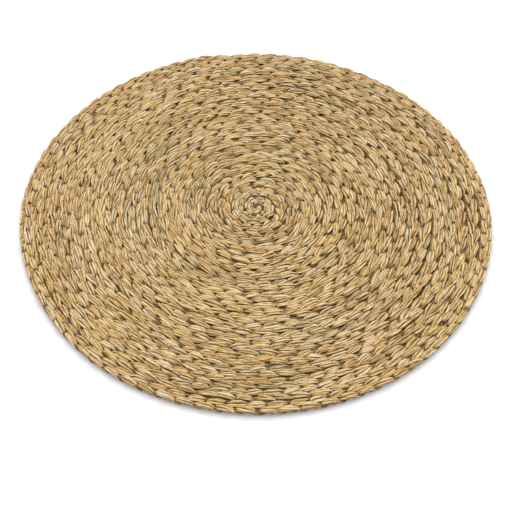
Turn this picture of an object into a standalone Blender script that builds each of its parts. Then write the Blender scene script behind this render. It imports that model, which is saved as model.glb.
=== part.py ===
"""Round seagrass placemat, coiled flat from one continuous three-strand plait.

Metres, +Z up. The origin is in the middle of the underside, so the mat lies on z = 0.
The plait starts in the middle and winds outward clockwise, seen from above.
"""

import math

import bmesh
import bpy

# Driving dimensions
RADIUS = 0.185
THICKNESS = 0.008
TURNS = 20
PITCH = RADIUS / TURNS

# The groove between neighbouring turns, and how far a turn stands above or below the next
GROOVE_DEPTH = 0.0019
CREST_UNEVENNESS = 0.00035

# Where the plait's outer end stops, and how much of its half width it loses beside a full step
END_ANGLE = math.radians(94)
END_THINNING = 0.45

# The turns step outward round that end, so that the mat's outline stays round: shares of a turn
STEP_START = -0.11
STEP_LENGTH = 0.19
ROUND_FROM_TURN = 11
ROUND_BY_TURN = 19

# Columns of points round the mat
SPOKES = 72

# Where the top's rows lie across a turn, in half widths from its middle; the last is the groove
ROW_SHARES = (-0.36, 0.36, 1.0)

# The outer turn's rounded side, from top to foot: share of half width, share of thickness
RIM_PROFILE = (
    (0.74, 0.90),
    (0.95, 0.70),
    (1.00, 0.48),
    (0.93, 0.26),
    (0.78, 0.08),
    (0.66, 0.00),
)

# How far the outline stands out of a true circle: angle in degrees, metres
RIM_UNEVENNESS = (
    (0, 0.0006),
    (30, 0.0006),
    (60, -0.0006),
    (90, 0.0003),
    (120, 0.0001),
    (150, -0.0003),
    (180, 0.0002),
    (210, -0.0008),
    (240, 0.0000),
    (270, 0.0003),
    (300, 0.0002),
    (330, 0.0000),
)

SEAGRASS_COLOUR = (0.47, 0.33, 0.17, 1.0)
SEAGRASS_ROUGHNESS = 0.62
WELD_DISTANCE = 0.00001


def ease(share):
    """A smooth rise from 0 to 1 as share goes from 0 to 1."""
    share = min(max(share, 0.0), 1.0)
    return share * share * (3.0 - 2.0 * share)


def stepped(turn):
    """The turn count with its growth gathered into one short step in each turn."""
    whole = math.floor(turn - STEP_START)
    share = (turn - STEP_START - whole) / STEP_LENGTH
    left = 1.0 - min(share, 1.0)
    return whole - 0.5 + (1.0 - left * left)


def half_width(turn):
    """Half the plait's width in pitches. Near its end it thins as the turn inside steps outward."""
    crowded = max(stepped(turn) - (TURNS - 0.5), 0.0)
    return 0.5 - END_THINNING * crowded


def middle(turn):
    """Radius of the plait's middle line, this many turns from the start."""
    roundness = ease((turn - ROUND_FROM_TURN) / (ROUND_BY_TURN - ROUND_FROM_TURN))
    coil = turn + roundness * (stepped(turn) - turn)
    return PITCH * (coil - 0.5 + half_width(turn))


def unevenness(angle):
    """The outline's departure from a circle at this angle, smoothed between the table's rows."""
    degrees = math.degrees(angle) % 360.0
    rows = RIM_UNEVENNESS + ((360.0, RIM_UNEVENNESS[0][1]),)
    for (low, start), (high, end) in zip(rows, rows[1:]):
        if low <= degrees <= high:
            return start + (end - start) * ease((degrees - low) / (high - low))
    return 0.0


def crest_height(turn, angle):
    """Height of a turn's top: a hand-made mat lies a little higher here and lower there."""
    wave = math.sin(2.0 * angle + 0.9 * turn) + math.sin(5.0 * angle - 1.7 * turn)
    return THICKNESS - CREST_UNEVENNESS * (1.0 + 0.5 * wave)


def place(radius, angle, height):
    """The point at this radius and angle, drawn in or out with the uneven outline."""
    radius += unevenness(angle) * (radius / RADIUS) ** 2
    return radius * math.cos(angle), radius * math.sin(angle), height


def top_point(row, share_of_turn):
    """A point of the ribbed top, in this row of the coil and this share of a turn round."""
    whole, kind = divmod(row, len(ROW_SHARES))
    turn = whole + share_of_turn
    angle = END_ANGLE - 2.0 * math.pi * share_of_turn
    height = crest_height(turn, angle)
    across = ROW_SHARES[kind]
    radius = middle(turn) + across * PITCH * half_width(turn)
    if across == 1.0:
        inner_side = middle(turn + 1.0) - PITCH * half_width(turn + 1.0)
        radius = 0.5 * (radius + inner_side)
        height -= GROOVE_DEPTH
    return place(radius, angle, height)


def rim_point(row, share_of_turn):
    """A point of the outer turn's rounded side, from its top to its foot."""
    across, up = RIM_PROFILE[row]
    turn = TURNS - 1.0 + share_of_turn
    angle = END_ANGLE - 2.0 * math.pi * share_of_turn
    radius = middle(turn) + across * PITCH * half_width(turn)
    return place(radius, angle, up * crest_height(turn, angle))


def coil_surface(mesh):
    """The top and the rim: a grid whose columns are spokes and whose rows follow the coil.

    A row's last point lies on the next turn's first, so welding joins the turns.
    The row at the middle of the mat starts at the plait's outer shoulder.
    It returns the outermost row's two ends, at the foot of the mat's side.
    """
    first_row = 1
    top_rows = (TURNS - 1) * len(ROW_SHARES) + 1
    rows = top_rows + len(RIM_PROFILE)
    bmesh.ops.create_grid(mesh, x_segments=SPOKES, y_segments=rows - 1, size=1.0)
    corners = [vert for vert in mesh.verts if len(vert.link_edges) == 2]
    feet = [vert for vert in corners if vert.co.y > 0.0]
    for vert in mesh.verts:
        share_of_turn = 0.5 * (vert.co.x + 1.0)
        row = round(0.5 * (vert.co.y + 1.0) * (rows - 1))
        if row < top_rows:
            vert.co = top_point(first_row + row, share_of_turn)
        else:
            vert.co = rim_point(row - top_rows, share_of_turn)
    return feet


def close_openings(mesh, feet):
    """Welds the turns together, then closes the middle, the plait's cut end and the underside."""
    bmesh.ops.remove_doubles(mesh, verts=mesh.verts, dist=WELD_DISTANCE)
    mesh.edges.new(feet)
    open_edges = [edge for edge in mesh.edges if edge.is_boundary or edge.is_wire]
    bmesh.ops.holes_fill(mesh, edges=open_edges, sides=0)
    bmesh.ops.recalc_face_normals(mesh, faces=mesh.faces)


def seagrass():
    """The plait's material."""
    material = bpy.data.materials.new("seagrass")
    material.use_nodes = True
    shader = material.node_tree.nodes["Principled BSDF"]
    shader.inputs["Base Color"].default_value = SEAGRASS_COLOUR
    shader.inputs["Roughness"].default_value = SEAGRASS_ROUGHNESS
    shader.inputs["Metallic"].default_value = 0.0
    return material


def build_mat(collection):
    """The whole coiled plait as one flat, closed solid."""
    mesh = bmesh.new()
    feet = coil_surface(mesh)
    close_openings(mesh, feet)
    data = bpy.data.meshes.new("mat")
    mesh.to_mesh(data)
    mesh.free()
    data.materials.append(seagrass())
    data.shade_smooth()
    data.set_sharp_from_angle(angle=math.radians(50))
    collection.objects.link(bpy.data.objects.new("mat", data))


def main():
    for obj in list(bpy.data.objects):
        bpy.data.objects.remove(obj)
    collection = bpy.data.collections.new("Seagrass placemat")
    bpy.context.scene.collection.children.link(collection)
    build_mat(collection)


main()
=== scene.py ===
"""Looks of a round seagrass placemat: one three-strand plait, coiled flat from the middle outward.

Metres, +Z up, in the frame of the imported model. Each strand of the plait is a bundle of dried
leaves, and each leaf is a thin closed tube that follows the coil from the middle to the outer end.
"""

import math
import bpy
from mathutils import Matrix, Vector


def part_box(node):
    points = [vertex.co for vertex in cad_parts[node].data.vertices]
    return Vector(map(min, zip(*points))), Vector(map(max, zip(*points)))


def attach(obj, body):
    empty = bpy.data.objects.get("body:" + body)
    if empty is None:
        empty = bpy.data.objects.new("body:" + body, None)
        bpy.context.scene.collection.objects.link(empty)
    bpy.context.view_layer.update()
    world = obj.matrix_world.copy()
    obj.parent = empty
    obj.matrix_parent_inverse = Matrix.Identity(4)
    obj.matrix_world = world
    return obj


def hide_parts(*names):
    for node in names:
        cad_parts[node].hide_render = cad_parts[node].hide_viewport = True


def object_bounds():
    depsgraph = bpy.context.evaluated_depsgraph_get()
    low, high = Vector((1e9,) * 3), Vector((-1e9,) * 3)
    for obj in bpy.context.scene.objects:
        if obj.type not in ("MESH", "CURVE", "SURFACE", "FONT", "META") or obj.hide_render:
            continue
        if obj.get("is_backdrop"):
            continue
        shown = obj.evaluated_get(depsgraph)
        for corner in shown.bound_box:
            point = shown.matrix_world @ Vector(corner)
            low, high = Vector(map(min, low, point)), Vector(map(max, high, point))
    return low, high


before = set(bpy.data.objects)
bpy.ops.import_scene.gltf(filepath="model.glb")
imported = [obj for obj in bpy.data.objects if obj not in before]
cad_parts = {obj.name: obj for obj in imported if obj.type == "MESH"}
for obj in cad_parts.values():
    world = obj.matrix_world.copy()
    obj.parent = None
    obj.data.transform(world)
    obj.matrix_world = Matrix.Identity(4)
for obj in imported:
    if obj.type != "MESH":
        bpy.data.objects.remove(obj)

from types import SimpleNamespace

import bpy
import numpy as np
from mathutils import Matrix, Vector

MM = 0.001
CAD_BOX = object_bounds()
MAT_LOW, MAT_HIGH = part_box("mat")

# The coil, as the solid has it; the outline's highest places stand OUTLINE_RISE out of its circle
TURNS = 20
OUTLINE_RISE = 0.4 * MM
RADIUS = 0.25 * (MAT_HIGH[0] - MAT_LOW[0] + MAT_HIGH[1] - MAT_LOW[1]) - OUTLINE_RISE
PITCH = RADIUS / TURNS
THICKNESS = MAT_HIGH[2] - MAT_LOW[2]
END_ANGLE = math.radians(94)
END_THINNING = 0.45
STEP_START = -0.11
STEP_LENGTH = 0.19
ROUND_FROM_TURN = 11
ROUND_BY_TURN = 19
START_TURN = 0.16
LINE_POINTS = 40001

# How far the outline stands out of a true circle: angle in degrees, millimetres
RIM_UNEVENNESS = (
    (0, 0.6),
    (30, 0.6),
    (60, -0.6),
    (90, 0.3),
    (120, 0.1),
    (150, -0.3),
    (180, 0.2),
    (210, -0.8),
    (240, 0.0),
    (270, 0.3),
    (300, 0.2),
    (330, 0.0),
    (360, 0.6),
)

# Waves that push the turns in and out inside the rim: waves round the mat, millimetres between
# waves outward, start of the wave in radians
TURN_WAVES = ((3, 61.0, 0.0), (5, 47.0, 1.7), (8, 73.0, 4.0))
TURN_WAVE_HEIGHT = 0.35 * MM
CALM_RIM = 18.0 * MM

# The coil is tighter at the middle: share of the radius taken away, and how far out it reaches
MIDDLE_TIGHTNESS = 0.32
MIDDLE_REACH = 14.0 * MM

# The plait's outer end is tucked in over this share of a turn
END_TUCK_LENGTH = 0.035
END_TUCK = 2.0 * MM
END_SINK = 0.35

# The rim: its own shape starts RIM_TURNS before the plait's end and is whole RIM_GROWTH later.
# It lacks these shares of the strands' looseness and of their depth
RIM_TURNS = 1.2
RIM_GROWTH = 0.2
RIM_TIGHTNESS = 0.6
RIM_FLATTENING = 0.35

# The plait: a strand swings from side to side once in each PLAIT_PERIOD. SWING_LEAN slows its way
# across on top and hurries it below, and TOP_STAY lets it come up sooner and go down later
STRANDS = 3
PLAIT_PERIOD = 42.0 * MM
SIDE_SWING = 2.75 * MM
SWING_LEAN = 0.45
RISE = 1.8 * MM
RISE_LEAD = math.radians(8)
TOP_STAY = 0.52

# The plait's start: it is plaited closer, narrower and firmer than the rest and coloured lighter,
# and its first curl is narrower still
START_HURRY = 1.25
START_CALM = 160.0 * MM
START_LOOSENESS = 0.3
SWING_CALM = 1.5 * START_CALM
START_SWING = 0.6
START_PALENESS = 0.45
CURL_TURNS = 0.5
CURL_SWING = 0.35

# A strand is a bundle of leaves: half its width and depth, the share of its width where it dives,
# and the shares of its leaves' width and of their spread where it is hidden
BUNDLE_HALF_WIDTH = 1.9 * MM
BUNDLE_HALF_DEPTH = 0.8 * MM
DIVING_WIDTH = 0.65
HIDDEN_WIDTH = 1.35
HIDDEN_SPREAD = 2.1

# The plait is pressed flat: 1 leaves a leaf's height as it is, and 0 takes it out to a flat face.
# PRESS_REACH is how far below and above the middle a leaf may lie, in half thicknesses
PRESSED = 0.5
RIM_PRESSED = 0.8
PRESS_REACH = (-0.98, 1.1)

# The rim's outer side is drawn tight beyond SIDE_FREE from the plait's middle line, and nearer by
# FOOT_DRAW at its foot. Inside the rim a turn is free for INNER_FREEDOM more
SIDE_FREE = 3.5 * MM
SIDE_GIVE = 1.0 * MM
INNER_FREEDOM = 2.0 * MM
FOOT_DRAW = 1.4 * MM
FOOT_HEIGHT = 4.2 * MM

# The leaves; LEAF_CORNERS are the points round one, in degrees
RINGS = 4990
LEAVES = 5
LEAF_HALF_WIDTH = 1.05 * MM
LEAF_HALF_DEPTH = 0.45 * MM
LEAF_CORNERS = (8, 90, 172, 270)
EDGE_NARROWNESS = 3

# Unevenness made by hand: how far a value wanders each way, and after how many millimetres the
# next one is drawn. The strands share the sways, and the drawing keeps to the order of the rows
SWAYS = {
    "phase": (0.6, 60),
    "side": (0.4 * MM, 35),
    "grey": (0.4, 110),
}
STRAND_UNEVENNESS = {
    "phase": (0.28, 21),
    "swing": (0.15, 13),
    "side": (0.45 * MM, 17),
    "twist": (2.5, 45),
    "tone": (0.25, 14),
}
LEAF_UNEVENNESS = {
    "phase": (0.22, 16),
    "width": (0.25, 9),
    "twist": (0.4, 21),
    "side": (0.3 * MM, 12),
    "rise": (0.15, 11),
    "height": (0.2 * MM, 9),
    "depth": (0.20, 7),
    "tilt": (0.5, 14),
    "slow_tone": (0.6, 50),
    "quick_tone": (0.4, 12),
    "grey": (0.6, 70),
}
CORNER_UNEVENNESS = {"crumple": (0.10, 5)}
SEED = 12
SPARE_DRAWS = 3

# Where a leaf turns grey-green, and where painted shade darkens it: where it dives through the
# plait's mid height, and near the foot of the rim, as painted contact shade
GREY_FROM = 0.25
GREY_RANGE = 0.3
DIVE_SHADE_RANGE = 0.2
# Painted contact shade at the rim's foot: how strong it is, and the height it fades out by
FOOT_SHADE = 0.8
FOOT_SHADE_HEIGHT = 4.4 * MM

# Leaves that run straight through the plait, seen only through its holes: each one's place across
# the plait, and how strongly painted shade darkens it
INNER_LEAVES = ((-3.8 * MM, 0.5), (-0.9 * MM, 0.95), (2.0 * MM, 0.5))
INNER_RINGS = 2400
INNER_HALF_WIDTH = 2.1 * MM
INNER_HALF_DEPTH = 0.3 * MM
INNER_HEIGHT = 5.0 * MM
# Their tone is lowered too, as painted shade
INNER_SHADE_TONE = -0.4

# How far apart the leaves lie in the space that their noise is read from, in millimetres
LEAF_SPACING = 7.0
STRAND_SPACING = 31.0
INNER_SPACING = 9.0

# Noise over a leaf, in millimetres: stretch along, across and through it, scale, detail, roughness
STREAKS = ((0.15, 1.0, 1.0), 1.1, 2.0, 0.8)
FIBRES = ((0.15, 1.0, 1.0), 4.5, 2.0, 0.5)
MOTTLE = ((0.6, 1.0, 1.0), 0.8, 3.0, 0.6)
TINT = ((0.03, 0.3, 1.0), 1.0, 2.0, 0.5)

# Colours of the leaves, in linear light, from their darkest shade to their palest
STRAW_SHADES = (
    (0.15, (0.26, 0.122, 0.026)),
    (0.34, (0.447, 0.253, 0.073)),
    (0.52, (0.585, 0.377, 0.145)),
    (0.72, (0.688, 0.492, 0.245)),
    (0.90, (0.785, 0.64, 0.41)),
)
GREY_SHADES = (
    (0.20, (0.11, 0.084, 0.040)),
    (0.50, (0.29, 0.22, 0.100)),
    (0.85, (0.52, 0.43, 0.26)),
)
TINTS = (
    (0.30, (1.0, 0.92, 0.72)),
    (0.50, (1.0, 0.995, 0.985)),
    (0.70, (0.96, 1.0, 1.06)),
)
# Painted shade colour of the creases along each leaf's sides
CREASE_SHADE_COLOUR = (0.14, 0.072, 0.018)
# Painted shade colour of the plait's hollows
HOLLOW_SHADE_COLOUR = (0.035, 0.016, 0.002)

# How much each value and noise counts in a leaf's colour shade, painted shade in creases and
# hollows, gloss and relief
SHADE_TONE = 0.28
SHADE_STREAKS = 2.05
SHADE_MOTTLE = 0.4
SHADE_SHIFT = -0.62
GREY_SHARE = 0.55
CREASE_SHADE_SHARPNESS = 3.0
CREASE_SHADE_SHARE = 0.35
HOLLOW_SHADE_MOTTLE = 3.6
HOLLOW_SHADE_SHIFT = -0.50
ROUGHNESS = 0.42
ROUGHNESS_STREAKS = 0.3
RELIEF_FIBRES = 0.5
RELIEF_STRENGTH = 0.45
RELIEF_DISTANCE = 0.5 * MM
LEAF_IOR = 1.42

# Stage
FLOOR_SIZE = 6.0
FLOOR_COLOUR = (0.9, 0.9, 0.9)
FLOOR_ROUGHNESS = 0.9
FLOOR_SPECULAR = 0.1
WORLD_COLOUR = (1.0, 1.0, 1.0)
WORLD_STRENGTH = 0.9
KEY_PLACE = Vector((0.06, 0.22, 1.7))
KEY_SIZE = 1.9
KEY_POWER = 19.5
CAMERA_DISTANCE = 0.8433
CAMERA_ELEVATION = math.radians(49.13)
CAMERA_TARGET = Vector((0.00065, -0.04375, 0.0))
CAMERA_ROLL = math.radians(1.147)
CAMERA_LENS = 74.58
CAMERA_SENSOR = 36.0


def ease(share):
    """A smooth rise from 0 to 1 as share goes from 0 to 1."""
    share = np.clip(share, 0.0, 1.0)
    return share * share * (3.0 - 2.0 * share)


def grown(start, share):
    """A smooth rise from start to 1 as share goes from 0 to 1."""
    return start + (1.0 - start) * ease(share)


def stepped(turn):
    """The turn count with its growth gathered into one short step in each turn."""
    whole = np.floor(turn - STEP_START)
    left = 1.0 - np.minimum((turn - STEP_START - whole) / STEP_LENGTH, 1.0)
    return whole - 0.5 + (1.0 - left * left)


def half_width(turn):
    """Half the plait's width in pitches. Near its end it thins as the turn inside steps outward."""
    return 0.5 - END_THINNING * np.maximum(stepped(turn) - (TURNS - 0.5), 0.0)


def middle(turn):
    """Radius of the plait's middle line, this many turns from the start."""
    roundness = ease((turn - ROUND_FROM_TURN) / (ROUND_BY_TURN - ROUND_FROM_TURN))
    coil = turn + roundness * (stepped(turn) - turn)
    return PITCH * (coil - 0.5 + half_width(turn))


def unevenness(angle):
    """The outline's departure from a circle at this angle."""
    degrees = np.degrees(angle) % 360.0
    angles, offsets = np.array(RIM_UNEVENNESS).T
    row = np.clip(np.searchsorted(angles, degrees, side="right") - 1, 0, len(angles) - 2)
    share = ease((degrees - angles[row]) / (angles[row + 1] - angles[row]))
    return (offsets[row] + (offsets[row + 1] - offsets[row]) * share) * MM


def waves(angle, radius):
    """How far the turns are pushed outward here, none at the rim and the middle."""
    push = sum(
        np.sin(count * angle + 2.0 * math.pi * radius / (spacing * MM) + start)
        for count, spacing, start in TURN_WAVES
    )
    return TURN_WAVE_HEIGHT * push * ease((RADIUS - radius) / CALM_RIM) * ease(radius / CALM_RIM)


def plait_line(rings):
    """Turn count and distance along the plait's middle line, at equal steps."""
    turn = np.linspace(START_TURN, TURNS, LINE_POINTS)
    radius = middle(turn)
    angle = -2.0 * math.pi * turn
    points = np.column_stack((radius * np.cos(angle), radius * np.sin(angle)))
    steps = np.linalg.norm(np.diff(points, axis=0), axis=1)
    length = np.concatenate(([0.0], np.cumsum(steps)))
    along = np.linspace(0.0, length[-1], rings)
    return np.interp(along, length, turn), along


def on_coil(turn, across, height):
    """Points at this distance outward from the plait's middle line and this height."""
    angle = END_ANGLE - 2.0 * math.pi * turn
    radius = middle(turn)
    radius = radius + unevenness(angle) * (radius / RADIUS) ** 2 + waves(angle, radius) + across
    radius = radius * (1.0 - MIDDLE_TIGHTNESS * np.exp(-((radius / MIDDLE_REACH) ** 2)))
    tuck = ease((turn - TURNS + END_TUCK_LENGTH) / END_TUCK_LENGTH)
    radius = radius - END_TUCK * tuck
    height = height * (1.0 - END_SINK * tuck)
    return np.column_stack((radius * np.cos(angle), radius * np.sin(angle), height))


def rim_share(turn):
    """1 in the outermost turn and 0 in the others."""
    return ease((turn - TURNS + RIM_TURNS) / RIM_GROWTH)


def pressed(turn, across, height):
    """The place in the plait's section after it is pressed flat and the mat's rim drawn tight."""
    share = np.clip(height / (0.5 * THICKNESS) - 1.0, *PRESS_REACH)
    at_rim = rim_share(turn)
    power = PRESSED + (RIM_PRESSED - PRESSED) * at_rim
    height = 0.5 * THICKNESS * (1.0 + np.sign(share) * np.abs(share) ** power)
    free = SIDE_FREE - FOOT_DRAW * (1.0 - ease(height / FOOT_HEIGHT))
    free = free + INNER_FREEDOM * (1.0 - at_rim)
    beyond = np.maximum(across - free, 0.0)
    return across - beyond + SIDE_GIVE * np.tanh(beyond / SIDE_GIVE), height


def wander(along, spacing, rng):
    """Smooth random values from -1 to 1 along the plait, with a new one at each spacing."""
    values = rng.uniform(-1.0, 1.0, int(along[-1] / spacing) + SPARE_DRAWS)
    place = along / spacing
    whole = place.astype(int)
    share = ease(place - whole)
    return values[whole] * (1.0 - share) + values[whole + 1] * share


def draw(table, along, rng):
    """The values of a table of unevenness all along the plait, drawn in the order of its rows."""
    return SimpleNamespace(**{
        name: amount * wander(along, spacing * MM, rng)
        for name, (amount, spacing) in table.items()
    })


def strand_course(number, turn, along, sway, rng):
    """How one strand runs through the plait, before its leaves stray from it."""
    drawn = draw(STRAND_UNEVENNESS, along, rng)
    size = 2.0 * half_width(turn)
    hurried = along + START_HURRY * START_CALM * (1.0 - np.exp(-along / START_CALM))
    phase = 2.0 * math.pi * (hurried / PLAIT_PERIOD + number / STRANDS)
    loose = (1.0 - RIM_TIGHTNESS * rim_share(turn)) * grown(START_LOOSENESS, along / START_CALM)
    swing = SIDE_SWING * size * grown(CURL_SWING, (turn - START_TURN) / CURL_TURNS)
    swing = swing * grown(START_SWING, along / SWING_CALM)
    return SimpleNamespace(
        size=size,
        loose=loose,
        phase=phase + loose * (sway.phase + drawn.phase),
        swing=swing * (1.0 + drawn.swing),
        side=loose * (sway.side + drawn.side),
        twist=drawn.twist,
        depth=BUNDLE_HALF_DEPTH * (1.0 - RIM_FLATTENING * rim_share(turn)),
        tone=drawn.tone + START_PALENESS * (1.0 - ease(along / SWING_CALM)),
        grey=sway.grey,
    )


def leaf_course(index, turn, strand, drawn):
    """One leaf of a strand: its place in the plait's section, its size, and its values."""
    phase = strand.phase + strand.loose * drawn.phase
    level = -np.sin(2.0 * (phase + RISE_LEAD))
    falling = 0.5 + 0.5 * np.cos(2.0 * (phase + RISE_LEAD))
    over = level + TOP_STAY * (1.0 - level ** 2)
    shown = np.maximum(over, 0.0) ** 2
    hidden = np.maximum(-over, 0.0) ** 2
    dive = DIVING_WIDTH + (1.0 - DIVING_WIDTH) * shown
    width = strand.size * (dive + (HIDDEN_WIDTH - DIVING_WIDTH) * hidden) * (1.0 + drawn.width)
    spread = strand.size * (dive + (HIDDEN_SPREAD - DIVING_WIDTH) * hidden)
    twist = 2.0 * math.pi * index / LEAVES + strand.twist + drawn.twist
    across = strand.side + strand.swing * np.sin(phase - SWING_LEAN * np.cos(2.0 * phase))
    across = across + BUNDLE_HALF_WIDTH * spread * np.cos(twist) + strand.loose * drawn.side
    height = 0.5 * THICKNESS + RISE * over * (1.0 + drawn.rise)
    height = height + strand.depth * np.sin(twist) + strand.loose * drawn.height
    # No painted shade on the outermost turn's outer side, where nothing lies beside it
    open_side = (np.sin(phase) > 0.0) & (turn > TURNS - 1.0)
    return SimpleNamespace(
        across=across,
        height=height,
        half_wide=LEAF_HALF_WIDTH * width,
        half_deep=LEAF_HALF_DEPTH * (1.0 + drawn.depth),
        tilt=drawn.tilt,
        tone=strand.tone + drawn.slow_tone + drawn.quick_tone,
        grey=ease((drawn.grey + strand.grey - GREY_FROM) / GREY_RANGE),
        # Painted shade where the leaf dives through the plait's mid height
        deep=np.where(open_side, 0.0, falling * (1.0 - ease(np.abs(over) / DIVE_SHADE_RANGE))),
    )


class Leaves:
    """Leaves as closed tubes: their corners' points, ring by ring, and their material's values."""

    def __init__(self, count, along):
        shape = (count, len(along), len(LEAF_CORNERS))
        self.along = along
        self.points = np.empty(shape + (3,))
        self.leaf = np.empty(shape + (3,))
        self.values = {name: np.empty(shape) for name in ("edge", "tone", "grey", "deep")}

    def set_corner(self, index, place, points, section, **values):
        """A leaf's corner: its points, its place across and through the leaf, and its values."""
        self.points[index, :, place] = points
        self.leaf[index, :, place, 0] = self.along / MM
        self.leaf[index, :, place, 1] = section[0]
        self.leaf[index, :, place, 2] = section[1]
        for name, value in values.items():
            self.values[name][index, :, place] = value

    def faces(self):
        """Corner indices of the faces in a row, and where each face starts in it."""
        count, rings, corners = self.points.shape[:3]
        tube, ring, place = np.meshgrid(
            np.arange(count), np.arange(rings - 1), np.arange(corners), indexing="ij"
        )
        first = (tube * rings + ring) * corners
        here = first + place
        beside = first + (place + 1) % corners
        walls = np.stack((here, beside, beside + corners, here + corners), axis=-1).reshape(-1, 4)
        tube_starts = np.arange(count)[:, None] * rings * corners
        first_caps = tube_starts + np.arange(corners)[::-1]
        last_caps = tube_starts + np.arange(corners) + (rings - 1) * corners
        caps = np.concatenate((first_caps, last_caps))
        loops = np.concatenate((walls.ravel(), caps.ravel()))
        wall_starts = np.arange(len(walls)) * walls.shape[1]
        cap_starts = walls.size + np.arange(len(caps)) * corners
        return loops, np.concatenate((wall_starts, cap_starts))

    def build(self, name, material):
        """The leaves as one piece of the scene, which stands for the solid."""
        loops, starts = self.faces()
        mesh = bpy.data.meshes.new(name)
        mesh.vertices.add(self.points[..., 0].size)
        mesh.vertices.foreach_set("co", self.points.astype(np.float32).ravel())
        mesh.loops.add(len(loops))
        mesh.loops.foreach_set("vertex_index", loops.astype(np.int32))
        mesh.polygons.add(len(starts))
        mesh.polygons.foreach_set("loop_start", starts.astype(np.int32))
        mesh.update(calc_edges=True)
        mesh.validate()
        mesh.shade_smooth()
        for value_name, value in self.values.items():
            attribute = mesh.attributes.new(value_name, "FLOAT", "POINT")
            attribute.data.foreach_set("value", value.astype(np.float32).ravel())
        attribute = mesh.attributes.new("leaf", "FLOAT_VECTOR", "POINT")
        attribute.data.foreach_set("vector", self.leaf.astype(np.float32).ravel())
        mesh.materials.append(material)
        obj = bpy.data.objects.new(name, mesh)
        bpy.context.scene.collection.objects.link(obj)
        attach(obj, "root")
        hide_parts("mat")
        return obj


def strand_leaves(number, turn, along, sway, rng):
    """The leaves of one strand."""
    strand = strand_course(number, turn, along, sway, rng)
    leaves = Leaves(LEAVES, along)
    for index in range(LEAVES):
        leaf = leaf_course(index, turn, strand, draw(LEAF_UNEVENNESS, along, rng))
        apart = LEAF_SPACING * index + STRAND_SPACING * number
        for place, corner in enumerate(np.radians(LEAF_CORNERS)):
            crumple = 1.0 + draw(CORNER_UNEVENNESS, along, rng).crumple
            wide = leaf.half_wide * crumple * math.cos(corner)
            high = leaf.half_deep * crumple * math.sin(corner)
            across = leaf.across + wide * np.cos(leaf.tilt) - high * np.sin(leaf.tilt)
            height = leaf.height + wide * np.sin(leaf.tilt) + high * np.cos(leaf.tilt)
            across, height = pressed(turn, across, height)
            # Painted contact shade at the rim's foot, joined below with the painted shade of the
            # hollows
            foot = FOOT_SHADE * rim_share(turn) * (1.0 - ease(height / FOOT_SHADE_HEIGHT))
            leaves.set_corner(
                index,
                place,
                on_coil(turn, across, height),
                (wide / MM + apart, high / MM),
                # Painted shade in the creases along the leaf's two sides
                edge=abs(math.cos(corner)) ** EDGE_NARROWNESS,
                tone=leaf.tone,
                grey=leaf.grey,
                deep=np.maximum(leaf.deep, foot),
            )
    return leaves


def inner_leaves():
    """The straight leaves inside the plait."""
    turn, along = plait_line(INNER_RINGS)
    size = 2.0 * half_width(turn)
    leaves = Leaves(len(INNER_LEAVES), along)
    for index, (middle_place, deep) in enumerate(INNER_LEAVES):
        for place, corner in enumerate(np.radians(LEAF_CORNERS)):
            wide = INNER_HALF_WIDTH * math.cos(corner)
            high = INNER_HALF_DEPTH * math.sin(corner)
            height = np.full_like(turn, INNER_HEIGHT + high)
            leaves.set_corner(
                index,
                place,
                on_coil(turn, size * (middle_place + wide), height),
                (wide / MM + INNER_SPACING * index, high / MM),
                edge=0.0,
                # Painted shade: these leaves are seen only in the plait's holes
                tone=INNER_SHADE_TONE,
                grey=0.0,
                deep=deep,
            )
    return leaves


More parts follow.
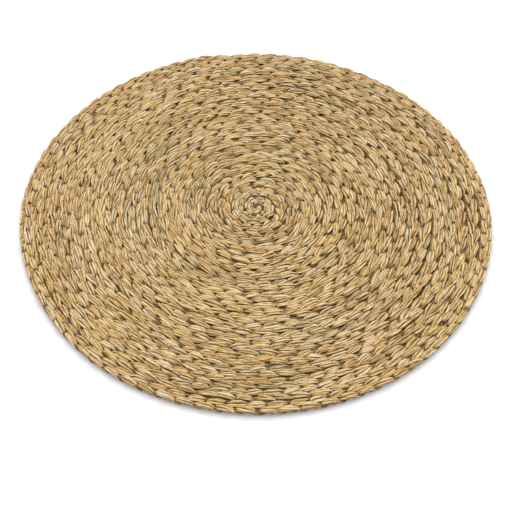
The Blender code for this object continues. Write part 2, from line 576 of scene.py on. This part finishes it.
class Nodes:
    """A short way to add and link the nodes of one material. Colours are red, green and blue."""

    # The mix node's sockets that take and give colours
    MIX_FIRST = 6
    MIX_SECOND = 7
    MIX_RESULT = 2

    def __init__(self, name):
        self.material = bpy.data.materials.new(name)
        self.material.use_nodes = True
        self.tree = self.material.node_tree
        self.shader = self.tree.nodes["Principled BSDF"]

    def add(self, kind, inputs=(), **settings):
        """A node of this kind, with these inputs fed and these settings made."""
        node = self.tree.nodes.new(kind)
        for name, value in settings.items():
            setattr(node, name, value)
        for name, value in dict(inputs).items():
            self.feed(node.inputs[name], value)
        return node

    def feed(self, socket, value):
        """Links another node's output to a socket, or sets the socket's own value."""
        if isinstance(value, bpy.types.NodeSocket):
            self.tree.links.new(value, socket)
        elif socket.type == "RGBA":
            socket.default_value = (*value, 1.0)
        else:
            socket.default_value = value

    def attribute(self, name, output="Fac"):
        """A value that the mesh carries."""
        return self.add("ShaderNodeAttribute", attribute_name=name).outputs[output]

    def noise(self, vector, stretch, scale, detail, roughness):
        """Noise over these coordinates. A stretch below 1 draws it out that way."""
        mapping = self.add("ShaderNodeMapping", {"Vector": vector, "Scale": stretch})
        texture = self.add("ShaderNodeTexNoise", {
            "Vector": mapping.outputs["Vector"],
            "Scale": scale,
            "Detail": detail,
            "Roughness": roughness,
        })
        return texture.outputs["Fac"]

    def math(self, operation, first, second, clamp=False):
        """One sum, product or power of two values."""
        node = self.add("ShaderNodeMath", operation=operation, use_clamp=clamp)
        self.feed(node.inputs[0], first)
        self.feed(node.inputs[1], second)
        return node.outputs[0]

    def total(self, weights, shift, clamp=False):
        """The sum of values, each times its weight, and a shift."""
        result = shift
        for value, weight in weights[:-1]:
            result = self.math("ADD", self.math("MULTIPLY", value, weight), result)
        value, weight = weights[-1]
        return self.math("ADD", self.math("MULTIPLY", value, weight), result, clamp=clamp)

    def mix(self, factor, first, second, blend_type="MIX"):
        """Two colours mixed, with the factor as the second one's share."""
        node = self.add("ShaderNodeMix", data_type="RGBA", blend_type=blend_type)
        self.feed(node.inputs["Factor"], factor)
        self.feed(node.inputs[self.MIX_FIRST], first)
        self.feed(node.inputs[self.MIX_SECOND], second)
        return node.outputs[self.MIX_RESULT]

    def ramp(self, factor, stops):
        """The colour at this place between the stops, each a position and a colour."""
        node = self.add("ShaderNodeValToRGB")
        self.feed(node.inputs["Fac"], factor)
        elements = node.color_ramp.elements
        for position, _ in stops[len(elements):]:
            elements.new(position)
        for element, (position, colour) in zip(elements, stops):
            element.position = position
            element.color = (*colour, 1.0)
        return node.outputs["Color"]


def leaf_colour(nodes, leaf, streaks, mottle):
    """Straw or grey-green by the leaf, with streaks along it, and painted shade in its creases and
    the plait's hollows.
    """
    tone = nodes.attribute("tone")
    shade = nodes.total(
        ((tone, SHADE_TONE), (streaks, SHADE_STREAKS), (mottle, SHADE_MOTTLE)),
        SHADE_SHIFT,
        clamp=True,
    )
    grey = nodes.math("MULTIPLY", nodes.attribute("grey"), GREY_SHARE)
    colour = nodes.mix(grey, nodes.ramp(shade, STRAW_SHADES), nodes.ramp(shade, GREY_SHADES))
    tints = nodes.ramp(nodes.noise(leaf, *TINT), TINTS)
    colour = nodes.mix(1.0, colour, tints, "MULTIPLY")
    # Painted shade in the creases along each leaf's sides
    sharp_edge = nodes.math("POWER", nodes.attribute("edge"), CREASE_SHADE_SHARPNESS)
    crease_shade = nodes.math("MULTIPLY", sharp_edge, CREASE_SHADE_SHARE)
    colour = nodes.mix(crease_shade, colour, CREASE_SHADE_COLOUR)
    # Painted shade in the plait's hollows, broken up by the mottle
    hollow_shade_spots = nodes.total(((mottle, HOLLOW_SHADE_MOTTLE),), HOLLOW_SHADE_SHIFT)
    hollow_shade = nodes.math("MULTIPLY", nodes.attribute("deep"), hollow_shade_spots, clamp=True)
    return nodes.mix(hollow_shade, colour, HOLLOW_SHADE_COLOUR)


def seagrass():
    """Dried seagrass leaf: straw to ochre, some grey-green, with fine ribs along each blade."""
    nodes = Nodes("seagrass")
    leaf = nodes.attribute("leaf", "Vector")
    streaks = nodes.noise(leaf, *STREAKS)
    fibres = nodes.noise(leaf, *FIBRES)
    mottle = nodes.noise(leaf, *MOTTLE)
    nodes.feed(nodes.shader.inputs["Base Color"], leaf_colour(nodes, leaf, streaks, mottle))
    roughness = nodes.total(((streaks, ROUGHNESS_STREAKS),), ROUGHNESS)
    nodes.feed(nodes.shader.inputs["Roughness"], roughness)
    relief = nodes.math("ADD", nodes.math("MULTIPLY", fibres, RELIEF_FIBRES), streaks)
    bump = nodes.add("ShaderNodeBump", {
        "Height": relief,
        "Strength": RELIEF_STRENGTH,
        "Distance": RELIEF_DISTANCE,
    })
    nodes.feed(nodes.shader.inputs["Normal"], bump.outputs["Normal"])
    nodes.shader.inputs["IOR"].default_value = LEAF_IOR
    return nodes.material


def build_plait():
    """The three strands of the coiled plait, and the leaves inside it."""
    turn, along = plait_line(RINGS)
    rng = np.random.default_rng(SEED)
    sway = draw(SWAYS, along, rng)
    material = seagrass()
    pieces = []
    for number in range(STRANDS):
        leaves = strand_leaves(number, turn, along, sway, rng)
        pieces.append(leaves.build(f"strand_{number + 1}", material))
    pieces.append(inner_leaves().build("inner_leaves", material))
    return pieces


def build_floor():
    """A plain pale floor at the mat's underside."""
    bpy.ops.mesh.primitive_plane_add(size=FLOOR_SIZE)
    floor = bpy.context.object
    floor.name = "floor"
    nodes = Nodes("floor")
    nodes.feed(nodes.shader.inputs["Base Color"], FLOOR_COLOUR)
    nodes.shader.inputs["Roughness"].default_value = FLOOR_ROUGHNESS
    nodes.shader.inputs["Specular IOR Level"].default_value = FLOOR_SPECULAR
    floor.data.materials.append(nodes.material)
    floor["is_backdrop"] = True


def build_lights():
    """White surroundings, and one large soft light above the mat and a little behind it."""
    world = bpy.data.worlds.new("world")
    bpy.context.scene.world = world
    world.use_nodes = True
    background = world.node_tree.nodes["Background"]
    background.inputs["Color"].default_value = (*WORLD_COLOUR, 1.0)
    background.inputs["Strength"].default_value = WORLD_STRENGTH
    data = bpy.data.lights.new("key", "AREA")
    data.size = KEY_SIZE
    data.energy = KEY_POWER
    light = bpy.data.objects.new("key", data)
    light.location = KEY_PLACE
    light.rotation_euler = (-KEY_PLACE).to_track_quat("-Z", "Y").to_euler()
    bpy.context.scene.collection.objects.link(light)


def build_camera():
    """The camera at the photograph's viewing angle."""
    data = bpy.data.cameras.new("camera")
    data.lens = CAMERA_LENS
    data.sensor_width = CAMERA_SENSOR
    camera = bpy.data.objects.new("camera", data)
    away = Vector((0.0, -math.cos(CAMERA_ELEVATION), math.sin(CAMERA_ELEVATION)))
    camera.location = away * CAMERA_DISTANCE
    facing = (CAMERA_TARGET - camera.location).to_track_quat("-Z", "Y").to_matrix().to_4x4()
    turned = facing @ Matrix.Rotation(CAMERA_ROLL, 4, "Z")
    camera.rotation_euler = turned.to_euler()
    bpy.context.scene.collection.objects.link(camera)
    bpy.context.scene.camera = camera


def main():
    """Builds the mat and the stage."""
    pieces = build_plait()
    build_floor()
    build_lights()
    build_camera()
    bpy.context.scene.view_settings.view_transform = "Standard"
    boxes = {"cad": CAD_BOX, "visual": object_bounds()}
    boxes = {name: [list(map(float, corner)) for corner in box] for name, box in boxes.items()}


main()
